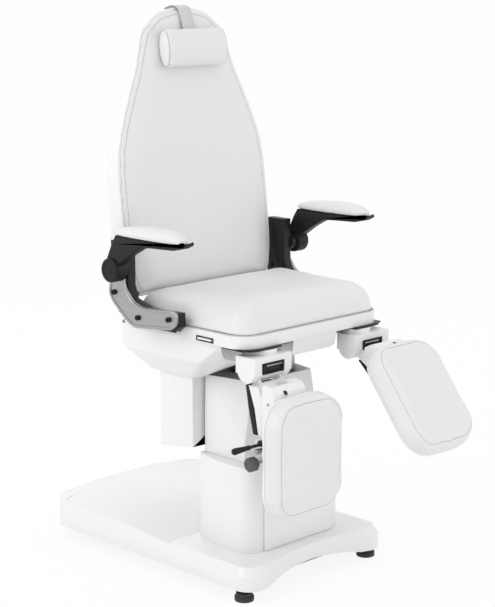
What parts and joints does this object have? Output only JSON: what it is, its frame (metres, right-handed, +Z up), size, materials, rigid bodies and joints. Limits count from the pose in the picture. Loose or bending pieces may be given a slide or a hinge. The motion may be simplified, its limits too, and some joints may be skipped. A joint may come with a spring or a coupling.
{
  "type": "podiatry chair",
  "caption": "Electric podiatry treatment chair: telescopic lift column on a flat base, reclining tapered backrest with roll headrest, fold-up armrests and separate tilting leg rests.",
  "frame": {"origin": "On the floor, under the middle of the bounding box in X and Y.", "axes": "+Z is up. The seated patient faces -Y, and +X is the patient's left. The chair is drawn as in the picture: lift raised, back upright, the patient's right leg rest hanging and the left one raised."},
  "size_m": [0.804, 1.1858, 1.5932],
  "materials": {
    "frame_steel": "satin",
    "cover_white": "semi-gloss",
    "trim_white": "semi-gloss",
    "tube_steel": "brushed",
    "chrome": "polished",
    "vinyl": "matte",
    "black_plastic": "matte",
    "black_metal": "satin",
    "silver_plate": "brushed",
    "bolt_steel": "satin",
    "foot_rubber": "matte",
    "strap_web": "matte",
    "knob_grey": "matte",
    "board": "matte"
  },
  "bodies": {
    "base": {"base_frame": "frame_steel", "base_cover": "cover_white", "mains_inlet": "black_plastic", "column_outer_tube": "tube_steel", "lower_column_cover": "cover_white", "column_front_panel": "cover_white", "lift_actuator_body": "black_metal"},
    "foot_front_left": {"levelling_foot_front_left": "foot_rubber"},
    "foot_front_right": {"levelling_foot_front_right": "foot_rubber"},
    "foot_rear_left": {"levelling_foot_rear_left": "foot_rubber"},
    "foot_rear_right": {"levelling_foot_rear_right": "foot_rubber"},
    "hood": {"column_middle_tube": "tube_steel", "column_hood": "cover_white"},
    "seat": {"column_inner_tube": "tube_steel", "lift_actuator_rod": "chrome", "seat_frame": "frame_steel", "seat_board": "board", "seat_lip": "trim_white", "underside_shell": "cover_white", "rear_housing": "cover_white", "seat_cushion": "vinyl", "swivel_plates": "black_metal", "arm_brackets": "black_metal", "bracket_covers": "silver_plate", "bracket_bolts": "bolt_steel", "back_actuator_body": "black_metal", "switch_bezel": "black_plastic"},
    "rocker": {"rocker_switch": "trim_white"},
    "back_rod": {"back_actuator_rod": "chrome"},
    "back": {"backrest_frame": "frame_steel", "backrest_shell": "cover_white", "backrest_cushion": "vinyl", "headrest_strap": "strap_web"},
    "headrest": {"headrest_roll": "vinyl"},
    "arm_left": {"armrest_left": "black_plastic", "arm_pad_left": "vinyl"},
    "arm_right": {"armrest_right": "black_plastic", "arm_pad_right": "vinyl"},
    "knuckle_left": {"swivel_pin_left": "bolt_steel", "leg_knuckle_left": "trim_white"},
    "leg_left": {"leg_strut_left": "trim_white", "strut_cover_left": "black_plastic"},
    "rest_left": {"leg_shell_left": "trim_white", "pad_board_left": "cover_white", "leg_pad_left": "vinyl", "clamp_bolt_left": "bolt_steel"},
    "lever_left": {"release_lever_left": "bolt_steel", "lever_grip_left": "black_plastic"},
    "knob_left": {"clamp_knob_left": "knob_grey"},
    "knuckle_right": {"swivel_pin_right": "bolt_steel", "leg_knuckle_right": "trim_white"},
    "leg_right": {"leg_strut_right": "trim_white", "strut_cover_right": "black_plastic"},
    "rest_right": {"leg_shell_right": "trim_white", "pad_board_right": "cover_white", "leg_pad_right": "vinyl", "clamp_bolt_right": "bolt_steel"},
    "lever_right": {"release_lever_right": "bolt_steel", "lever_grip_right": "black_plastic"},
    "knob_right": {"clamp_knob_right": "knob_grey"}
  },
  "joints": [
    {"name": "foot_turn_front_left", "type": "hinge", "parent": "base", "child": "foot_front_left", "pos_m": [0.252, -0.2081, 0], "axis": [0, 0, 1], "continuous": true},
    {"name": "foot_turn_front_right", "type": "hinge", "parent": "base", "child": "foot_front_right", "pos_m": [-0.252, -0.2081, 0], "axis": [0, 0, 1], "continuous": true},
    {"name": "foot_turn_rear_left", "type": "hinge", "parent": "base", "child": "foot_rear_left", "pos_m": [0.175, 0.5279, 0], "axis": [0, 0, 1], "continuous": true},
    {"name": "foot_turn_rear_right", "type": "hinge", "parent": "base", "child": "foot_rear_right", "pos_m": [-0.175, 0.5279, 0], "axis": [0, 0, 1], "continuous": true},
    {"name": "hood_slide", "type": "slide", "parent": "base", "child": "hood", "axis": [0, 0, 1], "range_m": [-0.11, 0]},
    {"name": "seat_lift", "type": "slide", "parent": "base", "child": "seat", "axis": [0, 0, 1], "range_m": [-0.22, 0]},
    {"name": "rocker_tip", "type": "hinge", "parent": "seat", "child": "rocker", "pos_m": [-0.281, -0.0891, 0.719], "axis": [0, 0, 1], "range_deg": [-4, 4], "stiffness_Nm_per_rad": 0.2},
    {"name": "back_recline", "type": "hinge", "parent": "seat", "child": "back", "pos_m": [0, 0.2319, 0.762], "axis": [-1, 0, 0], "range_deg": [0, 70]},
    {"name": "back_rod_slide", "type": "slide", "parent": "seat", "child": "back_rod", "axis": [0, 1, 0], "range_m": [-0.0725, 0.0005]},
    {"name": "headrest_slide", "type": "slide", "parent": "back", "child": "headrest", "axis": [0, 0.1132, 0.9936], "range_m": [-0.06, 0.02]},
    {"name": "arm_fold_left", "type": "hinge", "parent": "seat", "child": "arm_left", "pos_m": [0.365, 0.1869, 0.885], "axis": [-1, 0, 0], "range_deg": [0, 90]},
    {"name": "arm_fold_right", "type": "hinge", "parent": "seat", "child": "arm_right", "pos_m": [-0.365, 0.1869, 0.885], "axis": [-1, 0, 0], "range_deg": [0, 90]},
    {"name": "leg_swivel_left", "type": "hinge", "parent": "seat", "child": "knuckle_left", "pos_m": [0.19, -0.2081, 0.7], "axis": [0, 0, 1], "range_deg": [-5, 25]},
    {"name": "leg_tilt_left", "type": "hinge", "parent": "knuckle_left", "child": "leg_left", "pos_m": [0.201, -0.2331, 0.652], "axis": [-1, 0, 0], "range_deg": [-37.5, 42.5]},
    {"name": "leg_length_left", "type": "slide", "parent": "leg_left", "child": "rest_left", "axis": [0, -0.6088, -0.7934], "range_m": [0, 0.03]},
    {"name": "lever_lift_left", "type": "hinge", "parent": "rest_left", "child": "lever_left", "pos_m": [0.272, -0.39552, 0.54218], "axis": [0, -0.7934, 0.6088], "range_deg": [0, 25]},
    {"name": "knob_turn_left", "type": "hinge", "parent": "rest_left", "child": "knob_left", "pos_m": [0.3, -0.42474, 0.5041], "axis": [1, 0, 0], "continuous": true},
    {"name": "leg_swivel_right", "type": "hinge", "parent": "seat", "child": "knuckle_right", "pos_m": [-0.19, -0.2081, 0.7], "axis": [0, 0, -1], "range_deg": [-5, 25]},
    {"name": "leg_tilt_right", "type": "hinge", "parent": "knuckle_right", "child": "leg_right", "pos_m": [-0.201, -0.2331, 0.652], "axis": [-1, 0, 0], "range_deg": [0, 80]},
    {"name": "leg_length_right", "type": "slide", "parent": "leg_right", "child": "rest_right", "axis": [0, 0, -1], "range_m": [0, 0.03]},
    {"name": "lever_lift_right", "type": "hinge", "parent": "rest_right", "child": "lever_right", "pos_m": [-0.272, -0.2951, 0.466], "axis": [0, 1, 0], "range_deg": [0, 25]},
    {"name": "knob_turn_right", "type": "hinge", "parent": "rest_right", "child": "knob_right", "pos_m": [-0.3, -0.2951, 0.418], "axis": [-1, 0, 0], "continuous": true}
  ],
  "couplings": [
    {"joint": "hood_slide", "follows": "seat_lift", "ratio": 0.5},
    {"joint": "back_rod_slide", "follows": "back_recline", "m_per_rad": -0.059}
  ]
}
